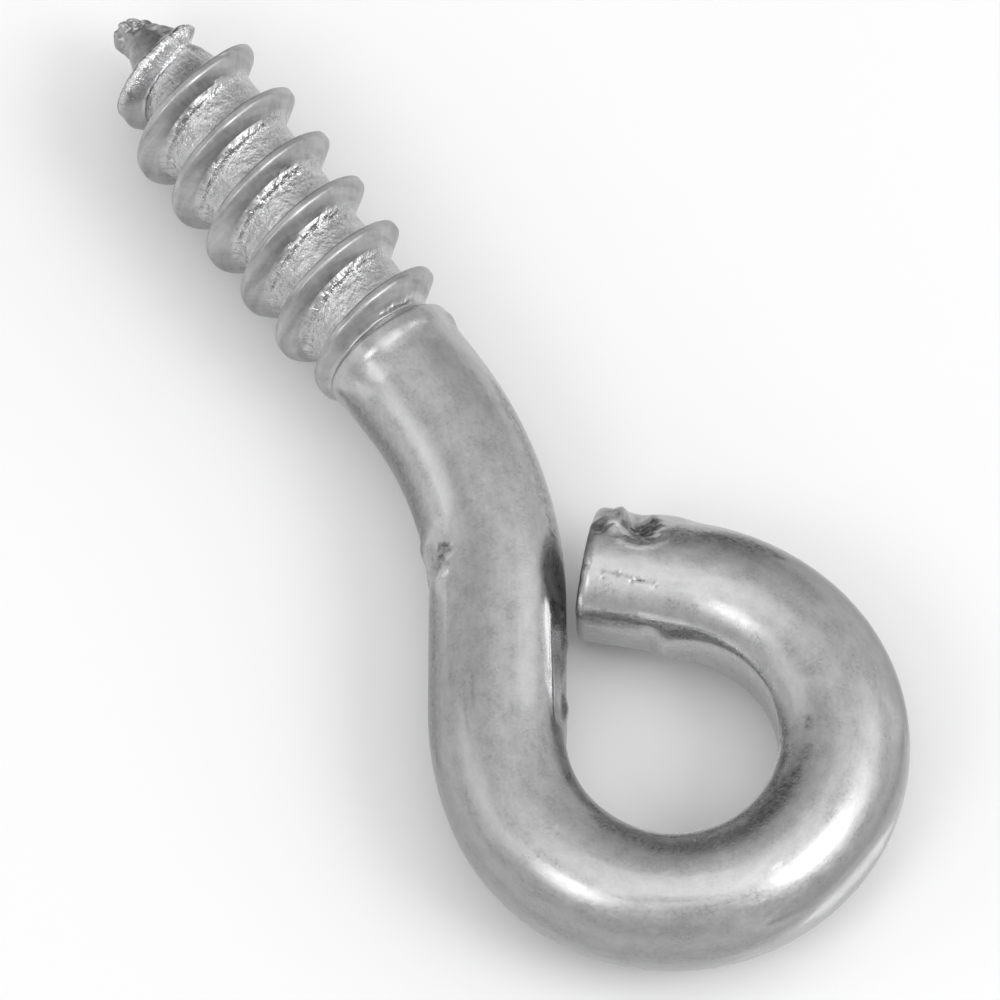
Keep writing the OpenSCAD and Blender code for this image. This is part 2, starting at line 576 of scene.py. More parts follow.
@dataclass(frozen=True)
class Mark:
    """A mark in the surface.

    It lies at a place along the wire (millimetres) and an angle round it (degrees), and reaches length
    to each side along the wire and width to each side round it. Its height is negative in a hollow.
    """

    form: Form
    along: float
    around: float
    length: float
    width: float
    height: float
    turn: float = 0.0

    def rise(self, skin: "Skin") -> np.ndarray:
        """How far the mark lifts each point of the surface."""
        u, v = skin.offset(self.along, self.around)
        turn = math.radians(self.turn)
        across = v * math.cos(turn) - u * math.sin(turn)
        u = (u * math.cos(turn) + v * math.sin(turn)) / self.length
        v = across / self.width
        q = np.hypot(u, v)
        inside = np.clip(1 - q * q, 0, 1)
        if self.form is Form.DENT:
            shape = inside**2
        elif self.form is Form.PIT:
            shape = np.sqrt(inside) * inside
        elif self.form is Form.RING:
            shape = np.clip(1 - ((q - RING_PEAK) / RING_HALF) ** 2, 0, 1)
        else:
            shape = inside * np.cos(v * math.tau * RIB_WAVES + u)
        return self.height * shape


@dataclass(frozen=True)
class Flat:
    """A flat that a tool pressed into the side of the wire (millimetres and degrees)."""

    start: float
    stop: float
    around: float
    depth: float
    run_out: float = 0.5
    curve_r: float = math.inf
    blend: float = 0.02

    def rise(self, skin: "Skin") -> np.ndarray:
        """How far the flat lowers each point of the surface."""
        turned = np.cos(skin.around - math.radians(self.around))
        middle = (self.start + self.stop) / 2
        bow = (skin.along - middle) ** 2 / (2 * self.curve_r)
        level = skin.wire_r - self.depth + bow
        sunk = level / np.maximum(turned, FLAT_SIDE) - skin.wire_r
        edge = np.clip(self.blend - np.abs(sunk), 0, None) ** 2 / (4 * self.blend)
        sunk = np.minimum(sunk, 0.0) - edge
        from_start = np.clip((skin.along - self.start) / self.run_out, 0, 1)
        to_stop = np.clip((self.stop - skin.along) / self.run_out, 0, 1)
        share = np.minimum(from_start, to_stop)
        return sunk * share * share * (3 - 2 * share) * (turned > FLAT_SIDE)


@dataclass(frozen=True)
class Crease:
    """A raised or sunken line along a path of (along, around) places (millimetres and degrees)."""

    path: Path
    half_width: float
    height: float
    growth: float = 4.0
    thin: float = 0.25

    def rise(self, skin: "Skin") -> np.ndarray:
        """How far the line lifts each point of the surface."""
        away, share = skin.from_path(self.path)
        q = away / (self.half_width * tapered(share, self.growth, self.thin))
        return self.height * np.clip(1 - q * q, 0, 1) ** 2


@dataclass(frozen=True)
class Stroke:
    """A stretch of stain, painted shade or painted highlight along a path of (along, around) places.
    """

    path: Path
    half_width: float
    strength: float = 1.0
    soft: float = 0.5
    growth: float = 5.0
    thin: float = 0.2

    def cover(self, skin: "Skin") -> np.ndarray:
        """How strongly the stroke covers each point of the surface."""
        away, share = skin.from_path(self.path)
        q = away / (self.half_width * tapered(share, self.growth, self.thin))
        return self.strength * np.clip((1 + self.soft - q) / (2 * self.soft), 0, 1)


class Skin:
    """The surface of the finished mesh, unrolled: each point by its place along and round the wire."""

    def __init__(
        self, mesh: bpy.types.Mesh, line: CentreLine, strip_x: float, wire: WireSizes
    ) -> None:
        """Reads the mesh.

        Args:
            mesh: The swept mesh, in millimetres.
            line: The centre line of its wire.
            strip_x: Where that line begins, along the shank.
            wire: The sizes of the wire.
        """
        self.mesh = mesh
        self.wire_r = wire.wire_r
        count = len(mesh.vertices)
        points = np.zeros(count * 3)
        mesh.vertices.foreach_get("co", points)
        self.points = points.reshape(-1, 3)
        self.along = self.read(ALONG)
        self.around = self.read(AROUND)
        threaded = self.points[:, 0] > strip_x - SEAM
        across = self.points[:, 1] + wire.shank_offset
        self.along[threaded] = strip_x - self.points[threaded, 0]
        self.around[threaded] = np.arctan2(self.points[threaded, 2], across[threaded])
        middle, _ = line.at(self.along)
        out = self.points - np.column_stack([middle, np.zeros(count)])
        self.size = np.linalg.norm(out, axis=1)
        self.out = out / np.maximum(self.size, NEAR_ZERO)[:, None]
        self.lift = np.zeros(count)
        self.layers = {name: np.zeros(count) for name in STROKES}

    def read(self, name: str) -> np.ndarray:
        """Reads a number per point."""
        values = np.zeros(len(self.mesh.vertices))
        self.mesh.attributes[name].data.foreach_get("value", values)
        return values

    def offset(self, along: float, around: float) -> tuple[np.ndarray, np.ndarray]:
        """Distances along and round the surface from a place on it, in millimetres."""
        turned = self.around - math.radians(around)
        turned = (turned + math.pi) % math.tau - math.pi
        return self.along - along, turned * np.minimum(self.size, self.wire_r)

    def from_path(self, path: Path) -> tuple[np.ndarray, np.ndarray]:
        """Measures the surface from a path of (along, around) places.

        Args:
            path: The places, in order.

        Returns:
            Each point's distance from the path, and how far down the path it lies, from 0 to 1.
        """
        best = np.full(len(self.along), np.inf)
        share = np.zeros(len(self.along))
        for number, (start, stop) in enumerate(zip(path[:-1], path[1:])):
            u, v = self.offset(*start)
            du = stop[0] - start[0]
            dv = math.radians(stop[1] - start[1]) * self.wire_r
            down = np.clip((u * du + v * dv) / (du * du + dv * dv), 0, 1)
            away = np.hypot(u - down * du, v - down * dv)
            nearer = away < best
            best[nearer] = away[nearer]
            share[nearer] = (number + down[nearer]) / (len(path) - 1)
        return best, share

    def press(self, mark: Union[Mark, Flat, Crease]) -> None:
        """Adds a mark to the surface."""
        self.lift += mark.rise(self)

    def paint(self, name: str, stroke: Stroke) -> None:
        """Adds a stroke to a layer."""
        layer = self.layers[name]
        np.maximum(layer, stroke.cover(self), out=layer)

    def finish(self) -> None:
        """Moves the points, writes the layers and turns millimetres into metres."""
        lift = np.maximum(self.lift, -DEEPEST * self.size)
        points = (self.points + self.out * lift[:, None]) * MM
        self.mesh.vertices.foreach_set("co", points.ravel())
        for name, values in self.layers.items():
            self.mesh.attributes.new(name, "FLOAT", "POINT").data.foreach_set("value", values)
        unbent = np.column_stack(
            [self.along, np.cos(self.around) * self.wire_r, np.sin(self.around) * self.wire_r]
        )
        self.mesh.attributes[STRAIGHT].data.foreach_set("vector", unbent.ravel())
        self.mesh.update()


# The nick of the bending pin, and the rubbed side of the neck where it faces the cut end
NECK_MARKS = (
    Mark(Form.DENT, 7.1, 4, 0.3, 0.8, -0.06),
    Mark(Form.DENT, 8.1, 6, 0.6, 0.9, 0.1),
    Mark(Form.PIT, 9.5, 10, 0.46, 1.15, -0.6, turn=14),
    Mark(Form.RING, 8.95, 41, 0.34, 0.32, 0.09),
    Mark(Form.RING, 9.3, 33, 0.24, 0.26, 0.07),
    Mark(Form.RIBS, 8.85, 44, 0.5, 0.34, 0.06, turn=24),
    Crease(((9.4, 46), (9.8, 42), (10.05, 30)), 0.1, 0.06),
    Crease(((9.9, 42), (11.8, 42), (13.2, 42)), 0.1, 0.012),
    Mark(Form.DENT, 10, 153, 0.95, 0.8, -0.13, turn=12),
    Flat(10.7, 15.4, 161, 0.12, run_out=0.35, blend=0.04),
    Crease(((10.75, 138), (11.6, 139), (12.9, 141), (14.2, 145), (15.2, 144)), 0.22, 0.05),
    Mark(Form.DENT, 11, 172, 0.3, 0.4, -0.06),
    Mark(Form.DENT, 11.8, 173, 0.55, 0.45, 0.14),
    Mark(Form.DENT, 12.7, 170, 0.5, 0.3, 0.08),
    Mark(Form.DENT, 14.2, 175, 0.7, 0.35, 0.14),
)
# The gripper's bite and the nub beside it, the scar, and the flattened inner side of the tail
END_MARKS = (
    Mark(Form.DENT, 42.45, 56, 0.85, 1.1, -0.4),
    Mark(Form.PIT, 42.7, 34, 0.55, 0.85, -0.38),
    Mark(Form.DENT, 41.5, 22, 1, 0.7, 0.1),
    Mark(Form.RIBS, 42.4, 56, 0.8, 1, 0.07, turn=-10),
    Crease(((43.3, 78), (42.8, 81.5), (42.36, 83), (41.9, 80), (41.4, 70)), 0.08, 0.04),
    Mark(Form.PIT, 43.18, 34, 0.34, 0.75, 0.14),
    Mark(Form.PIT, 43.3, 66, 0.26, 0.34, 0.1),
    Mark(Form.PIT, 43.75, 68, 0.25, 0.4, -0.1),
    Mark(Form.DENT, 44.05, 44, 0.45, 0.8, -0.14),
    Mark(Form.PIT, 44, 105, 0.28, 0.11, -0.12),
    Mark(Form.PIT, 44.1, 121, 0.18, 0.12, -0.1),
    Mark(Form.PIT, 43.4, 109, 0.2, 0.07, -0.05),
    Mark(Form.PIT, 42.85, 110, 0.16, 0.08, -0.08),
    Mark(Form.PIT, 42.62, 111, 0.08, 0.07, -0.08),
    Mark(Form.PIT, 42.12, 112, 0.2, 0.07, -0.07),
    Mark(Form.PIT, 41.7, 113, 0.12, 0.08, -0.07),
    Mark(Form.PIT, 43.3, 112, 0.08, 0.07, 0.05),
    Mark(Form.PIT, 42.36, 112, 0.09, 0.08, 0.08),
    Mark(Form.PIT, 41.58, 113, 0.09, 0.09, 0.08),
    Crease(((43.3, 142), (43.2, 146), (43.22, 150)), 0.06, 0.04),
    Flat(41, 45, 184, 0.34, run_out=0.7, blend=0.14),
    Crease(((44, 143), (43.3, 142), (41.9, 141), (40.5, 143), (38.5, 143)), 0.16, 0.02),
)
# The former's flat, and small nodules and pits
EYE_MARKS = (
    Flat(27, 30.8, 10, 0.14, run_out=0.3, curve_r=12),
    Mark(Form.PIT, 27.05, 75, 0.12, 0.1, 0.04),
    Mark(Form.PIT, 26.25, 51, 0.14, 0.12, 0.05),
    Mark(Form.PIT, 28.2, 46, 0.12, 0.1, 0.05),
    Mark(Form.PIT, 24, 88, 0.1, 0.1, -0.04),
)
# The rolled rim and the plain shank
SHANK_MARKS = (
    Mark(Form.PIT, 3.3, 96, 0.12, 0.12, 0.04),
    Mark(Form.PIT, 1.8, 28, 0.16, 0.1, -0.05),
    Mark(Form.DENT, 0.85, 160, 0.45, 0.4, 0.1),
    Mark(Form.DENT, 1.9, 40, 1, 0.5, -0.02),
)
# The ragged crown where the point broke off
TIP_MARKS = (
    Mark(Form.DENT, -14.5, 10, 0.3, 0.35, 0.05),
    Mark(Form.PIT, -14.42, 30, 0.3, 0.25, -0.08),
    Mark(Form.PIT, -14.4, 70, 0.26, 0.28, 0.14),
    Mark(Form.PIT, -14.02, 84, 0.14, 0.32, -0.16),
    Mark(Form.PIT, -13.75, 118, 0.22, 0.28, 0.15),
    Mark(Form.PIT, -13.4, 128, 0.16, 0.3, -0.08),
    Mark(Form.PIT, -13.02, 120, 0.2, 0.5, 0.12),
    Mark(Form.PIT, -12.72, 152, 0.24, 0.4, -0.14),
    Mark(Form.DENT, -12.3, 5, 0.5, 1.2, 0.14),
    Mark(Form.DENT, -11.05, 138, 0.36, 1.5, 0.17),
    Mark(Form.DENT, -14.15, 0, 0.3, 0.4, 0.14),
    Mark(Form.DENT, -13.8, 10, 0.25, 0.3, 0.1),
    Mark(Form.DENT, -13.35, 178, 0.3, 0.7, 0.2),
    Mark(Form.PIT, -13.6, 150, 0.3, 0.3, 0.1),
    Mark(Form.PIT, -14.35, 60, 0.3, 0.3, -0.12),
    Mark(Form.PIT, -14.1, 130, 0.3, 0.3, 0.08),
    Mark(Form.PIT, -12.6, 150, 0.35, 0.35, -0.07),
    Mark(Form.PIT, -12.75, 140, 0.18, 0.2, -0.08),
    Mark(Form.PIT, -12.55, 120, 0.2, 0.22, 0.07),
)
MARKS = NECK_MARKS + END_MARKS + EYE_MARKS + SHANK_MARKS + TIP_MARKS

# The layers painted on the surface: stains with painted shade, painted highlights, and painted shade
STROKES = {
    # Stains, scratches and pits, with painted shade darkening the gripper's bite, the pin's nick, the
    # neck's dent and the neck's outer edge
    STAIN_AND_SHADE: (
        Stroke(((-12.1, 128), (-12.4, 145)), 0.3, 0.9, 0.8),
        Stroke(((-13.2, 20), (-13.5, 70), (-13.8, 120)), 0.4, 0.5, 0.8),
        Stroke(((20.3, 125), (21.8, 127), (23, 120), (24.2, 116)), 0.3, 0.8),
        Stroke(((23.6, 118), (25.8, 116), (27.4, 117)), 0.36, 0.7),
        Stroke(((27, 117), (28.4, 120), (29.3, 122), (30.6, 118)), 0.36, 1),
        Stroke(((30.6, 118), (31.6, 115)), 0.2, 0.6),
        Stroke(((32.2, 118), (32.9, 118)), 0.14, 0.7),
        Stroke(((22.4, 65), (23.4, 68), (24.5, 68), (25.4, 66)), 0.1, 0.32),
        Stroke(((43, 58), (42.5, 50), (41.9, 50)), 0.72, 1.3),
        Stroke(((42.9, 74), (42.36, 75), (41.9, 72)), 0.22, 1.3),
        Stroke(((41.6, 60), (40.9, 60), (39.6, 54), (38.2, 48)), 0.42, 0.85, 0.8),
        Stroke(((43.85, 72), (43.7, 64)), 0.28, 1.3),
        Stroke(((43.7, 56), (43.4, 40), (43, 30)), 0.36, 0.8, 0.8),
        Stroke(((43.5, 109), (42.9, 110), (42.36, 111.5), (41.5, 113)), 0.05, 0.5),
        Stroke(((43, 110), (42.75, 110.5)), 0.07, 1),
        Stroke(((42.2, 112), (41.95, 112)), 0.06, 1),
        Stroke(((43.9, 158), (42.95, 156), (42.3, 152), (41.8, 150)), 0.42, 0.75, 0.95),
        Stroke(((41.1, 154), (40.6, 150), (40, 148), (38, 148), (35, 150.5)), 0.08, 0.8),
        Stroke(((35, 150.5), (33, 151.5), (31.5, 152)), 0.08, 0.6),
        Stroke(((8.9, 145), (9.6, 152), (10.1, 159), (10.7, 165)), 0.34, 0.85, 0.9),
        Stroke(((7.4, 139), (8.2, 141), (9, 145)), 0.2, 0.3, 0.9),
        Stroke(((0.8, 10), (3, 15), (5.1, 16), (6.8, 14), (8.2, 9)), 0.7, 0.6, 0.95),
        Stroke(((10.2, 22), (11.8, 24), (13.6, 23), (16, 20)), 0.42, 0.55, 0.95),
        Stroke(((3.4, 148), (5.4, 147), (7.6, 149), (9, 153)), 0.4, 0.7, 0.95),
        Stroke(((44.05, 75), (44.05, 110), (44.05, 140)), 0.14, 0.6, 0.9),
        Stroke(((8.5, 38), (9, 44), (9.3, 36), (9.5, 24)), 0.2, 0.9, 0.7),
        Stroke(((8.2, 18), (8.8, 27), (9.4, 22)), 0.26, 0.6, 0.9),
        Stroke(((13.6, 69), (15, 71)), 0.05, 0.45),
        Stroke(((13.9, 62), (15.6, 62)), 0.04, 0.35),
        Stroke(((1.6, 110), (3.4, 125), (5.2, 130)), 0.5, 0.35, 0.9),
    ),
    # Painted highlights: a lighter tone, with the lower roughness of burnished metal, along bright
    # lines and facets of the neck, the eye, the tail and the tip
    PAINTED_HIGHLIGHT: (
        Stroke(((-11.9, 25), (-12.3, 75), (-12.7, 125)), 0.4, 0.9, 0.6),
        Stroke(((10.75, 138), (11.6, 139.5), (12.8, 142), (14.6, 145)), 0.32, 1.1, 0.35),
        Stroke(((11.2, 158), (12.6, 160), (14.4, 161)), 0.5, 0.8, 0.9),
        Stroke(((14, 172), (14.5, 171)), 0.25, 1),
        Stroke(((10.5, 42), (11.6, 43), (12.6, 43)), 0.06, 0.25, 0.8),
        Stroke(((1.2, 36), (3.5, 40), (5.6, 44), (8.2, 48)), 0.55, 0.5, 0.5),
        Stroke(((9.7, 46), (9.95, 38)), 0.08, 1),
        Stroke(((43.3, 79), (42.8, 82), (42.36, 83.5), (41.9, 80.5)), 0.05, 0.6),
        Stroke(((44, 106), (43.7, 106)), 0.08, 1),
        Stroke(((43.4, 64), (43.2, 68)), 0.2, 1),
        Stroke(((42.1, 24), (41.2, 23), (40, 24)), 0.13, 0.9, 0.7),
        Stroke(((27.3, 10), (28.8, 9), (30.4, 6)), 0.3, 0.9),
        Stroke(((21.5, 152), (25, 150), (29, 148), (33, 149)), 0.45, 1.1, 0.9),
        Stroke(((42, 140), (41.1, 142.5), (40.2, 143)), 0.1, 1.3, 0.5),
        Stroke(((33, 156), (37, 160), (41, 164), (43.6, 172)), 0.5, 0.5, 0.9),
        Stroke(((43, 142), (41.5, 143.5), (40, 145), (38, 146), (35.5, 147)), 0.13, 1, 0.7),
        Stroke(((41.9, 141), (41.13, 144), (40.4, 144)), 0.12, 1, 0.8),
        Stroke(((44, 144), (43.2, 143)), 0.06, 1),
        Stroke(((1, 55), (1.4, 60), (1.8, 56)), 0.35, 0.7, 0.8),
        Stroke(((0.9, 120), (1, 90), (1.1, 70)), 0.16, 0.6, 0.8),
    ),
    # Painted shade: darker plating along the neck's edge and the outside of the loop towards the tail,
    # where it would reflect the pale table
    PAINTED_SHADE: (
        Stroke(((0.8, 10), (3, 15), (5.1, 16), (6.8, 14), (8.2, 9)), 0.72, 1, 0.9),
        Stroke(((9.9, 20), (14, 22), (19, 18), (23, 14), (27, 20)), 0.85, 0.9, 0.8),
        Stroke(((26.4, 30), (30, 30), (33, 26)), 0.42, 1.1, 0.9),
        Stroke(((32.6, 18), (34.2, 26), (36.6, 36), (38.4, 46), (40.4, 58)), 0.6, 1.3, 0.9),
    ),
}


# ---------------------------------------------------------------------------------- the wire itself


@dataclass(frozen=True)
class FineStretch:
    """A stretch of the wire whose rings lie closer together (millimetres)."""

    start: float
    stop: float
    gap: float
    spread: float = 0.15

    def gap_at(self, place: float) -> float:
        """The gap between rings that the stretch asks for at a place: wider with distance from it."""
        return self.gap + self.spread * max(self.start - place, place - self.stop, 0.0)


@dataclass
class ScrewEye:
    """The whole screw eye, as one mesh."""

    wire: WireSizes = field(default_factory=WireSizes)
    thread: ThreadSizes = field(default_factory=ThreadSizes)
    rolling: Rolling = field(default_factory=Rolling)
    columns: int = 144
    thread_rows: int = 36
    row_crowding: float = 0.35
    ring_gap: float = 0.21
    fine_stretches: tuple[FineStretch, ...] = (
        FineStretch(0.0, 1.6, 0.07),
        FineStretch(7.4, 11.4, 0.08),
        FineStretch(41.0, 44.5, 0.065),
    )
    cap_rings: int = 8
    weld: float = 1e-4
    roll_back: float = 0.8
    roll_blend: float = 0.3

    def __post_init__(self) -> None:
        """Works out the centre line and where the columns of the mesh begin."""
        self.strip_x = self.thread.shoulder_x + self.thread.shoulder_l
        self.line = CentreLine(self.wire, self.strip_x)
        turns = (self.strip_x + self.thread.pitch / 2) / self.thread.pitch
        self.first_angle = math.radians(self.thread.phase) + math.tau * turns

    def stations(self) -> np.ndarray:
        """Places of the rings along the wire, up to where the edge of the cut end begins to round."""
        places = [0.0]
        stop = self.line.length - self.wire.end_round
        while places[-1] < stop:
            gap = min(stretch.gap_at(places[-1]) for stretch in self.fine_stretches)
            places.append(places[-1] + min(gap, self.ring_gap))
        return np.array(places[:-1] + [stop])

    def path(self) -> bpy.types.Object:
        """The centre line as a chain of edges, with the radius of the wire at each point."""
        places = self.stations()
        radius = np.full(len(places), self.wire.wire_r)
        round_r = self.wire.end_round
        turn = np.linspace(0, math.pi / 2, self.cap_rings + 1)[1:]
        places = np.concatenate([places, places[-1] + round_r * np.sin(turn)])
        radius = np.concatenate([radius, self.wire.wire_r - round_r * (1 - np.cos(turn))])
        inward = np.linspace(1, 0, self.cap_rings + 1)[1:]
        bulge = self.wire.end_bulge * (1 - inward**2)
        places = np.concatenate([places, self.line.length + bulge])
        radius = np.concatenate([radius, (self.wire.wire_r - round_r) * inward])
        points, _ = self.line.at(places)
        mesh = bpy.data.meshes.new("centre_line")
        chain = [(i, i + 1) for i in range(len(points) - 1)]
        mesh.from_pydata([(x, y, 0.0) for x, y in points], chain, [])
        for name, values in ((ALONG, places), (SECTION_R, radius)):
            mesh.attributes.new(name, "FLOAT", "POINT").data.foreach_set("value", values)
        return place_object("centre_line", mesh)

    def shape_tree(self, material: bpy.types.Material) -> ShapeTree:
        """Builds the tree that sweeps the wire, winds the thread and rolls it to its form."""
        t = self.thread
        tree = ShapeTree(
            "wire_and_thread",
            {
                "Columns": self.columns,
                "First angle": self.first_angle,
                "Shank offset": self.wire.shank_offset,
                "Mandrel radius": self.wire.mandrel_r,
                "Mandrel round": self.wire.mandrel_round,
                "Wire radius": self.wire.wire_r,
                "Strip start": self.strip_x,
                "Pitch": t.pitch,
                "Phase": math.radians(t.phase),
                "Crest radius": t.thread_d / 2,
                "Root radius": t.root_d / 2,
                "Tip radius": t.tip_d / 2,
                "Crest width": t.crest_w,
                "Eye flank": math.tan(math.radians(t.flank_angle / 2 + t.flank_lean)),
                "Tip flank": math.tan(math.radians(t.flank_angle / 2 - t.flank_lean)),
                "Shoulder": t.shoulder_x,
                "Shoulder length": t.shoulder_l,
                "Rim rise": t.rim_rise,
                "Point": t.point_x,
                "Reach": t.reach,
            },
        )
        wire = self.sweep_wire(tree)
        strip = self.wind_strip(tree)
        joined = tree.add("GeometryNodeJoinGeometry")
        tree.feed(joined.inputs[0], strip)
        tree.feed(joined.inputs[0], wire)
        rolled = self.roll_thread(tree, joined.outputs[0])
        merged = tree.add(
            "GeometryNodeMergeByDistance", {"Geometry": rolled, "Distance": self.weld}
        )
        smooth = tree.add("GeometryNodeSetShadeSmooth", {"Geometry": merged.outputs[0]})
        tree.finish(smooth.outputs[0], material)
        return tree

    def sweep_wire(self, tree: ShapeTree) -> Any:
        """Sweeps a circle along the centre line and presses the mandrel's flat into the eye."""
        curve = tree.add("GeometryNodeMeshToCurve", {"Mesh": tree.source.outputs["Geometry"]})
        upright = tree.add("GeometryNodeSetCurveNormal", {"Curve": curve.outputs[0]}, mode="Z_UP")
        circle = tree.add(
            "GeometryNodeCurvePrimitiveCircle",
            {"Resolution": tree.size("Columns"), "Radius": 1.0},
            mode="RADIUS",
        )
        share = tree.add("GeometryNodeSplineParameter").outputs["Factor"]
        angle = Value(tree, share) * math.tau + tree.size("First angle")
        ring = tree.move(
            circle.outputs[0], angle.math("COSINE") * -1.0, angle.math("SINE"), 0.0
        )
        ring = tree.store(ring, AROUND, angle - math.pi)
        tube = tree.add(
            "GeometryNodeCurveToMesh",
            {
                "Curve": upright.outputs[0],
                "Profile Curve": ring,
                "Scale": tree.read(SECTION_R),
            },
        )
        outward = tree.add("GeometryNodeFlipFaces", {"Mesh": tube.outputs[0]})
        x, y, z = tree.split(tree.add("GeometryNodeInputPosition").outputs[0])
        away = (x * x + y * y).math("SQRT")
        pressed = away.math(
            "SMOOTH_MAX", tree.size("Mandrel radius"), tree.size("Mandrel round")
        )
        inside = Value(tree, tree.read(ALONG)).math("GREATER_THAN", self.line.eye_start)
        share = (pressed / away - 1.0) * inside + 1.0
        flat = tree.move(outward.outputs[0], x * share, y * share, z)
        around = Value(tree, tree.read(AROUND))
        unbent = tree.join(
            tree.read(ALONG),
            around.math("COSINE") * tree.size("Wire radius"),
            around.math("SINE") * tree.size("Wire radius"),
        )
        return tree.store(flat, STRAIGHT, unbent, "FLOAT_VECTOR")

    def wind_strip(self, tree: ShapeTree) -> Any:
        """Winds a strip one pitch wide round the core, so that its rows follow the thread.

        The rows crowd at the crest and at the root. The places for the noise are read after the strip
        is wound, when they hardly change along the shank, so its folds run along the shank.
        """
        t = self.thread
        turns = (t.reach - self.strip_x) / t.pitch + 1
        columns = math.ceil(turns * self.columns)
        grid = tree.add(
            "GeometryNodeMeshGrid",
            {
                "Size X": float(columns),
                "Size Y": 1.0,
                "Vertices X": columns + 1,
                "Vertices Y": self.thread_rows + 1,
            },
        )
        x, y, _ = tree.split(tree.add("GeometryNodeInputPosition").outputs[0])
        turned = (x + columns / 2) / tree.size("Columns")
        share = y + 0.5
        wave = 2 * math.tau
        dense = share - (share * wave).math("SINE") * (self.row_crowding / wave)
        start = tree.size("Strip start")
        end = tree.size("Reach")
        low = (turned - 1.0) * tree.size("Pitch") + start
        high = turned * tree.size("Pitch") + start
        low = low.most(start).least(end)
        high = high.most(start).least(end)
        place = low + (high - low) * dense
        angle = turned * math.tau + tree.size("First angle")
        across = angle.math("COSINE") - tree.size("Shank offset")
        wound = tree.move(grid.outputs["Mesh"], place, across, angle.math("SINE"))
        noise_place = tree.join(
            start - place,
            angle.math("COSINE") * tree.size("Root radius"),
            angle.math("SINE") * tree.size("Root radius"),
        )
        return tree.store(wound, STRAIGHT, noise_place, "FLOAT_VECTOR")

    def roll_thread(self, tree: ShapeTree, geometry: Any) -> Any:
        """Gives the shoulder, the core and the ridge of the thread their radius."""
        t = self.thread
        rolling = self.rolling
        x, y, z = tree.split(tree.add("GeometryNodeInputPosition").outputs[0])
        across = y + tree.size("Shank offset")
        radius_now = (across * across + z * z).math("SQRT")
        angle = z.math("ARCTAN2", across)
        place = tree.read(STRAIGHT, "FLOAT_VECTOR")
        uneven = x.step(self.strip_x, self.strip_x + rolling.uneven_after)
        fine = tree.noise(place, rolling.fine)

        pitch = tree.size("Pitch")
        wander = tree.noise(place, rolling.wander) * rolling.wander_by * uneven
        crest_x = (angle - tree.size("Phase")) * pitch / math.tau + wander
        offset = (x - crest_x).math("WRAP", pitch / 2.0, pitch / -2.0)
        rough_end = x.step(*self.before_tip(rolling.rough_end))
        chatter = tree.noise(place, rolling.chatter) * rolling.chatter_by * uneven
        chatter = chatter * (1.0 + rough_end * rolling.rough_more)
        chatter = chatter + fine * rough_end * rolling.ragged_by
        ridge = self.ridge_radius(tree, x - offset, offset, chatter)

        band = self.crinkled(tree, x, angle, offset, place)
        crinkle = (fine + tree.noise(place, rolling.folds)) * rolling.crinkle_by * band
        crown = x.step(*self.before_tip(rolling.crown))
        crinkle = crinkle + tree.noise(place, rolling.lumps) * rolling.lumps_by * crown
        blunt = (x - (t.reach - t.nose_l)).most(0.0) / t.nose_l
        blunt = (1.0 - (blunt * blunt).least(1.0)).math("SQRT")
        core = self.core_radius(tree, x)
        rolled = (core.math("SMOOTH_MAX", ridge, t.root_round) + crinkle) * blunt

        broken = x.step(*self.before_tip(rolling.broken))
        side = (angle + math.radians(rolling.break_side)).math("COSINE")
        slant = rolled * side - t.tip_d * rolling.break_level
        end_x = x + slant * broken * rolling.break_slant
        near = x.step(self.near_x, self.near_x + self.roll_blend)
        scale = (rolled / radius_now - 1.0) * near + 1.0
        end_y = across * scale - tree.size("Shank offset")
        return tree.store(tree.move(geometry, end_x, end_y, z * scale), ROOT_BAND, band)

    def ridge_radius(self, tree: ShapeTree, ridge_x: Value, offset: Value, chatter: Value) -> Value:
        """Radius of the ridge: a low start behind the shoulder, the crest, a stub near the tip.

        Args:
            tree: The tree to build in.
            ridge_x: Place of the crest along the shank.
            offset: Distance from the crest, positive towards the tip.
            chatter: Unevenness of its height.

        Returns:
            The radius of the crest and its flanks, which may lie inside the core.
        """
        t = self.thread
        root = self.taper(tree, ridge_x)
        come = ridge_x - (t.shoulder_x - t.start_back)
        start = tree.size("Wire radius") - tree.size("Root radius")
        top = tree.size("Crest radius") - tree.size("Root radius")
        up = start - t.start_sink + come * t.start_slope
        lug = start + t.start_rise
        grow = lug + (top - lug) * (come / t.run_in_l).least(1.0)
        fade = (tree.size("Reach") - t.stub_back - ridge_x) * (top - t.stub_h) / t.fade_l + t.stub_h
        crest = root + (top.least(up).least(grow).least(fade.most(t.stub_h)) + chatter)
        to_tip = offset.math("GREATER_THAN", 0.0)
        slope = tree.size("Eye flank") + (tree.size("Tip flank") - tree.size("Eye flank")) * to_tip
        flank = (offset.math("ABSOLUTE") - tree.size("Crest width") / 2.0) / slope
        return (crest - flank).math("SMOOTH_MIN", crest, t.crest_round)

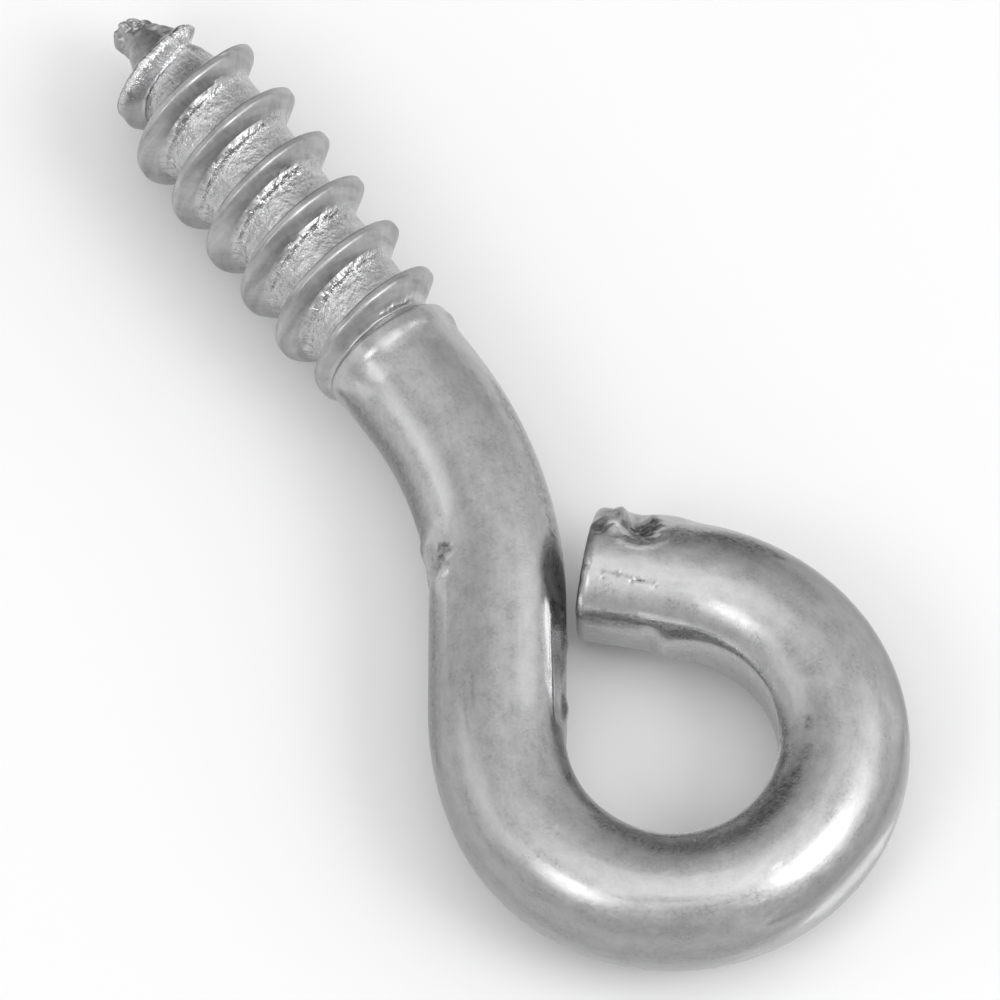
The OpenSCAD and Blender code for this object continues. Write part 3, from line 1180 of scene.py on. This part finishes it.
    def crinkled(self, tree: ShapeTree, x: Value, angle: Value, offset: Value, place: Any) -> Value:
        """Where rolling crinkled the metal: the root, and the eye side of the last whole turn.

        Args:
            tree: The tree to build in.
            x: Place along the shank.
            angle: Angle round the shank.
            offset: Distance from the crest, positive towards the tip.
            place: Where the noise is read.

        Returns:
            How crinkled the surface is, from 0 to 1.
        """
        pitch = self.thread.pitch
        rolling = self.rolling
        ragged = tree.noise(place, rolling.ragged) * rolling.ragged_by
        eye_side = (offset + ragged).step(*rolling.eye_side)
        tip_side = (offset + ragged * rolling.tip_side_ragged).step(*rolling.tip_side)
        from_edge = (offset * -1.0 - rolling.smooth_from).math("WRAP", pitch, 0.0)
        strength = 1.0 - (from_edge * rolling.smooth_rate).least(rolling.smooth_most)
        turned = (angle - math.radians(rolling.last_crest_side)).math("WRAP", math.pi, -math.pi)
        from_last = x - (turned * pitch / math.tau + rolling.last_crest_x)
        last_turn = (from_last + ragged).step(*rolling.last_turn)
        last_turn = last_turn * x.step(*self.before_tip(rolling.last_turn_x))
        not_past = 1.0 - from_last.step(*rolling.past_last)
        begun = x.step(self.strip_x, self.strip_x + rolling.crinkle_after)
        return (eye_side.most(tip_side) * strength).most(last_turn) * begun * not_past

    def before_tip(self, span: Span) -> Span:
        """Places along the shank of a span that counts back from the tip."""
        return self.thread.reach - span[0], self.thread.reach - span[1]

    @property
    def near_x(self) -> float:
        """Where the rolled part begins, just behind the start of the ridge."""
        return self.thread.shoulder_x - self.thread.start_back - self.roll_back

    def taper(self, tree: ShapeTree, x: Value) -> Value:
        """Radius of the thread's root: even, then narrowing over the point."""
        narrow = (tree.size("Root radius") - tree.size("Tip radius")) / self.thread.point_l
        return tree.size("Root radius") - (x - tree.size("Point")).most(0.0) * narrow

    def core_radius(self, tree: ShapeTree, x: Value) -> Value:
        """Radius of the shank and the core: wire, rolled rim, slope of the shoulder, root, point."""
        t = self.thread
        rim = x.step(t.shoulder_x - 2 * t.rim_l, t.shoulder_x - t.rim_l)
        wide = tree.size("Wire radius") + rim * tree.size("Rim rise")
        slope = (x - tree.size("Shoulder")) / tree.size("Shoulder length")
        slope = slope.most(0.0).least(1.0)
        return wide + (self.taper(tree, x) - wide) * slope

    def build(self, material: bpy.types.Material) -> bpy.types.Object:
        """Makes the screw eye.

        Args:
            material: The finish of its surface.

        Returns:
            The finished object, in metres.
        """
        mesh = self.shape_tree(material).grow(self.path())
        mesh.name = "screw_eye_finish"
        skin = Skin(mesh, self.line, self.strip_x, self.wire)
        for mark in MARKS:
            skin.press(mark)
        for name, strokes in STROKES.items():
            for stroke in strokes:
                skin.paint(name, stroke)
        skin.finish()
        return place_object(mesh.name, mesh)


# ------------------------------------------------------------------------------------------ finish


@dataclass(frozen=True)
class Mottling:
    """A pattern in the plating, and how much it changes the tone, the roughness and the height."""

    pattern: Pattern
    tone: float = 0.0
    rough: float = 0.0
    bump: float = 0.0


@dataclass(frozen=True)
class ZincPlating:
    """Satin zinc plating over drawn wire, crinkled where the thread was rolled.

    Tones are shares of white, and bumps are in millimetres. The dark fields say what share of the
    tone is taken away. Over it lie the layers of the mesh: stains with painted shade, painted shade,
    and painted highlights.
    """

    tone: float = 0.48
    blue: float = 1.01
    roughness: float = 0.32
    least_roughness: float = 0.14
    mottle: Mottling = Mottling(Pattern(1.3, 5), 0.20, 0.30, 0.010)
    grain: Mottling = Mottling(Pattern(9, 3), 0.14, 0.25, 0.0025)
    streak: Mottling = Mottling(Pattern(1.6, 3, (0.25, 3, 3)), 0.06, 0.0, 0.004)
    blotch: Mottling = Mottling(Pattern(3.6, 3, (0.6, 1, 1)), 0.14)
    rolled_edge: Span = (0.2, -0.2)
    rolled_smear: Pattern = Pattern(1.3, 5, (4.5, 0.6, 0.6))
    rolled_smear_tone: float = 0.4
    rolled_tone: float = -0.07
    rolled_rough: float = 0.04
    crinkle: Pattern = Pattern(3.6, 4)
    # The crinkled roots' own lighter tone, and painted sheen that stands for their glints
    crinkle_tone_and_sheen: float = 0.15
    crinkle_rough: float = -0.16
    crinkle_bump: float = 0.13
    crinkle_grain: float = 0.4
    # Painted highlights: how much their layer lightens the tone and lowers the roughness
    painted_highlight_tone: float = 0.26
    painted_highlight_rough: float = -0.08
    speck: Pattern = Pattern(5.5, 1)
    pit_edge: Span = (-0.30, -0.36)
    pit_dark: float = 0.15
    pit_bump: float = -0.006
    # Stains and painted shade: how strongly their layer covers, darkens, roughens and raises the
    # plating
    dirt_and_shade: float = 0.7
    dirt_and_shade_grain: float = 1.6
    dirt_and_shade_speck: float = 1.4
    dirt_and_shade_dark: float = 0.65
    dirt_and_shade_rough: float = 0.12
    dirt_and_shade_bump: float = 0.02
    # Painted shade: how much its layer darkens the tone
    painted_shade_dark: float = 0.35

    def material(self) -> bpy.types.Material:
        """Builds the material."""
        material = bpy.data.materials.new(SLOT)
        material.use_nodes = True
        graph = Graph(material.node_tree)
        place = self.attribute(graph, STRAIGHT, "Vector")
        layers = (ROOT_BAND, STAIN_AND_SHADE, PAINTED_HIGHLIGHT, PAINTED_SHADE)
        band, stain_and_shade, painted_highlight, painted_shade = (
            Value(graph, self.attribute(graph, name, "Fac")) for name in layers
        )
        parts = (self.mottle, self.grain, self.streak, self.blotch)
        noises = [graph.noise(place, part.pattern) for part in parts]
        grain = noises[1]
        speck = graph.noise(place, self.speck)
        pits = speck.step(*self.pit_edge)
        # Stains and painted shade from their layer, broken up by grain and specks
        dirt_and_shade = stain_and_shade * (self.dirt_and_shade + grain * self.dirt_and_shade_grain + speck * self.dirt_and_shade_speck)
        dirt_and_shade = dirt_and_shade.most(0.0).least(1.0)
        rolled = graph.split(place)[0].step(*self.rolled_edge)
        smear = graph.noise(place, self.rolled_smear) * self.rolled_smear_tone

        tone = self.mixed(noises, [part.tone for part in parts]) + self.tone
        tone = tone + rolled * (smear + self.rolled_tone)
        # Lighter under the painted highlights, and in the crinkled roots, whose tone is partly painted
        # sheen for their glints
        tone = tone + band * self.crinkle_tone_and_sheen + painted_highlight * self.painted_highlight_tone
        # Darker under the stains and the painted shade, and at the pits
        tone = tone * (1.0 - dirt_and_shade * self.dirt_and_shade_dark) * (1.0 - pits * self.pit_dark)
        # Darker under the painted shade
        tone = tone * (1.0 - painted_shade * self.painted_shade_dark)

        rough = self.mixed(noises, [part.rough for part in parts]) + self.roughness
        rough = rough + rolled * (band * self.crinkle_rough + self.rolled_rough)
        rough = rough + painted_highlight * self.painted_highlight_rough + dirt_and_shade * self.dirt_and_shade_rough

        grains = grain + NOISE_MIDDLE
        crinkle = graph.noise(place, self.crinkle) + NOISE_MIDDLE + grains * self.crinkle_grain
        height = self.mixed(noises, [part.bump for part in parts])
        height = height + crinkle * band * self.crinkle_bump
        height = height + pits * self.pit_bump + grains * dirt_and_shade * self.dirt_and_shade_bump
        bump = graph.add("ShaderNodeBump", {"Height": height, "Distance": MM, "Strength": 1.0})

        shader = material.node_tree.nodes["Principled BSDF"]
        shader.inputs["Metallic"].default_value = 1.0
        graph.feed(shader.inputs["Base Color"], graph.join(tone, tone, tone * self.blue))
        graph.feed(shader.inputs["Roughness"], rough.most(self.least_roughness))
        graph.feed(shader.inputs["Normal"], bump.outputs[0])
        return material

    def mixed(self, noises: Sequence[Value], shares: Sequence[float]) -> Value:
        """The sum of noises, each times its own share. A share of 0 adds nothing."""
        used = [noise * share for noise, share in zip(noises, shares) if share]
        return sum(used[1:], used[0])

    def attribute(self, graph: Graph, name: str, output: str) -> Any:
        """Reads an attribute of the mesh."""
        return graph.add("ShaderNodeAttribute", attribute_name=name).outputs[output]


# ------------------------------------------------------------------------------------------- stage


def direction(azimuth: float, elevation: float) -> Vector:
    """The direction at an azimuth from +X towards +Y and a height above the table, in degrees."""
    turn, rise = math.radians(azimuth), math.radians(elevation)
    flat = math.cos(rise)
    return Vector((flat * math.cos(turn), flat * math.sin(turn), math.sin(rise)))


@dataclass(frozen=True)
class SoftBox:
    """A rectangular lamp that faces the part (metres and degrees).

    Its azimuth runs from +X towards +Y, its elevation from the table up, and a radiance of 1 is white.
    """

    name: str
    azimuth: float
    elevation: float
    width: float
    height: float
    radiance: float
    distance: float = 0.6


SOFT_BOXES = (
    SoftBox("right_box", 214.0, 46.0, 0.26, 0.22, 3.9),
    SoftBox("left_box", 98.0, 48.0, 0.19, 0.19, 3.5),
    SoftBox("ceiling", 170.0, 84.0, 0.60, 0.60, 0.8, 0.7),
    SoftBox("right_panel", 235.0, 39.0, 0.90, 0.60, 0.75, 0.8),
    SoftBox("left_panel", 54.0, 28.0, 0.50, 0.40, 0.5, 0.8),
)


@dataclass
class Studio:
    """A pale table, soft lamps and the camera (metres and degrees; millimetres in the lens)."""

    floor_half: float = 1.0
    floor_tone: float = 0.9
    floor_roughness: float = 0.9
    target: tuple[float, float, float] = (0.01047, -0.00054, 0.0)
    place: tuple[float, float, float] = (-0.14995, 0.10703, 0.41490)
    right: tuple[float, float, float] = (-0.5807, -0.8141, 0.0)
    lens: float = 504.0
    sensor: float = 36.0
    near_clip: float = 0.01
    room: float = 0.66
    dark_side: Span = (-16.0, 5.0)
    dark_edge: Span = (0.64, 0.97)
    dark_level: float = 0.2

    def floor(self) -> None:
        """Lays the table top just under the part."""
        height = CAD_BOX[0][2]
        half = self.floor_half
        mesh = bpy.data.meshes.new("table_top")
        corners = [(-half, -half), (half, -half), (half, half), (-half, half)]
        mesh.from_pydata([(x, y, height) for x, y in corners], [], [(0, 1, 2, 3)])
        material = bpy.data.materials.new("table_top")
        material.use_nodes = True
        shader = material.node_tree.nodes["Principled BSDF"]
        tone = self.floor_tone
        shader.inputs["Base Color"].default_value = (tone, tone, tone, 1.0)
        shader.inputs["Roughness"].default_value = self.floor_roughness
        mesh.materials.append(material)
        place_object("table_top", mesh)

    def lamp(self, box: SoftBox) -> None:
        """Hangs a soft box that faces the part."""
        data = bpy.data.lights.new(box.name, "AREA")
        data.shape = "RECTANGLE"
        data.size, data.size_y = box.width, box.height
        data.energy = box.radiance * math.pi * box.width * box.height
        lamp = place_object(box.name, data)
        out = direction(box.azimuth, box.elevation)
        lamp.location = out * box.distance
        lamp.rotation_euler = out.to_track_quat("Z", "Y").to_euler()

    def camera(self) -> None:
        """Sets the camera to look down on the part."""
        data = bpy.data.cameras.new("camera")
        data.lens = self.lens
        data.sensor_width = self.sensor
        data.clip_start = self.near_clip
        camera = place_object("camera", data)
        back = (Vector(self.place) - Vector(self.target)).normalized()
        right = Vector(self.right)
        right = (right - back * right.dot(back)).normalized()
        axes = Matrix((right, back.cross(right), back)).transposed()
        camera.matrix_world = Matrix.Translation(self.place) @ axes.to_4x4()
        bpy.context.scene.camera = camera

    def world(self) -> None:
        """Lights the room evenly, but for a dark side beyond the table."""
        world = bpy.data.worlds.new("room")
        world.use_nodes = True
        graph = Graph(world.node_tree)
        look = graph.add("ShaderNodeTexCoord").outputs["Generated"]
        facing = graph.add(
            "ShaderNodeVectorMath",
            {0: look, 1: direction(*self.dark_side)},
            operation="DOT_PRODUCT",
        )
        dark = Value(graph, facing.outputs["Value"]).step(*self.dark_edge)
        level = self.room + dark * (self.dark_level - self.room)
        background = world.node_tree.nodes["Background"]
        graph.feed(background.inputs["Color"], graph.join(level, level, level))
        bpy.context.scene.world = world

    def set_up(self) -> None:
        """Builds the whole stage."""
        self.world()
        self.floor()
        for box in SOFT_BOXES:
            self.lamp(box)
        self.camera()
        bpy.context.scene.view_settings.view_transform = "Standard"


def main() -> None:
    """Builds the stage and the screw eye."""
    logging.basicConfig(level=logging.INFO, format="%(message)s")
    Studio().set_up()
    piece = ScrewEye().build(ZincPlating().material())
    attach(piece, "root")
    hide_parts(NODE)
    LOG.info("%s: %d points, %d faces", piece.name, len(piece.data.vertices), len(piece.data.polygons))


if __name__ == "__main__":
    main()
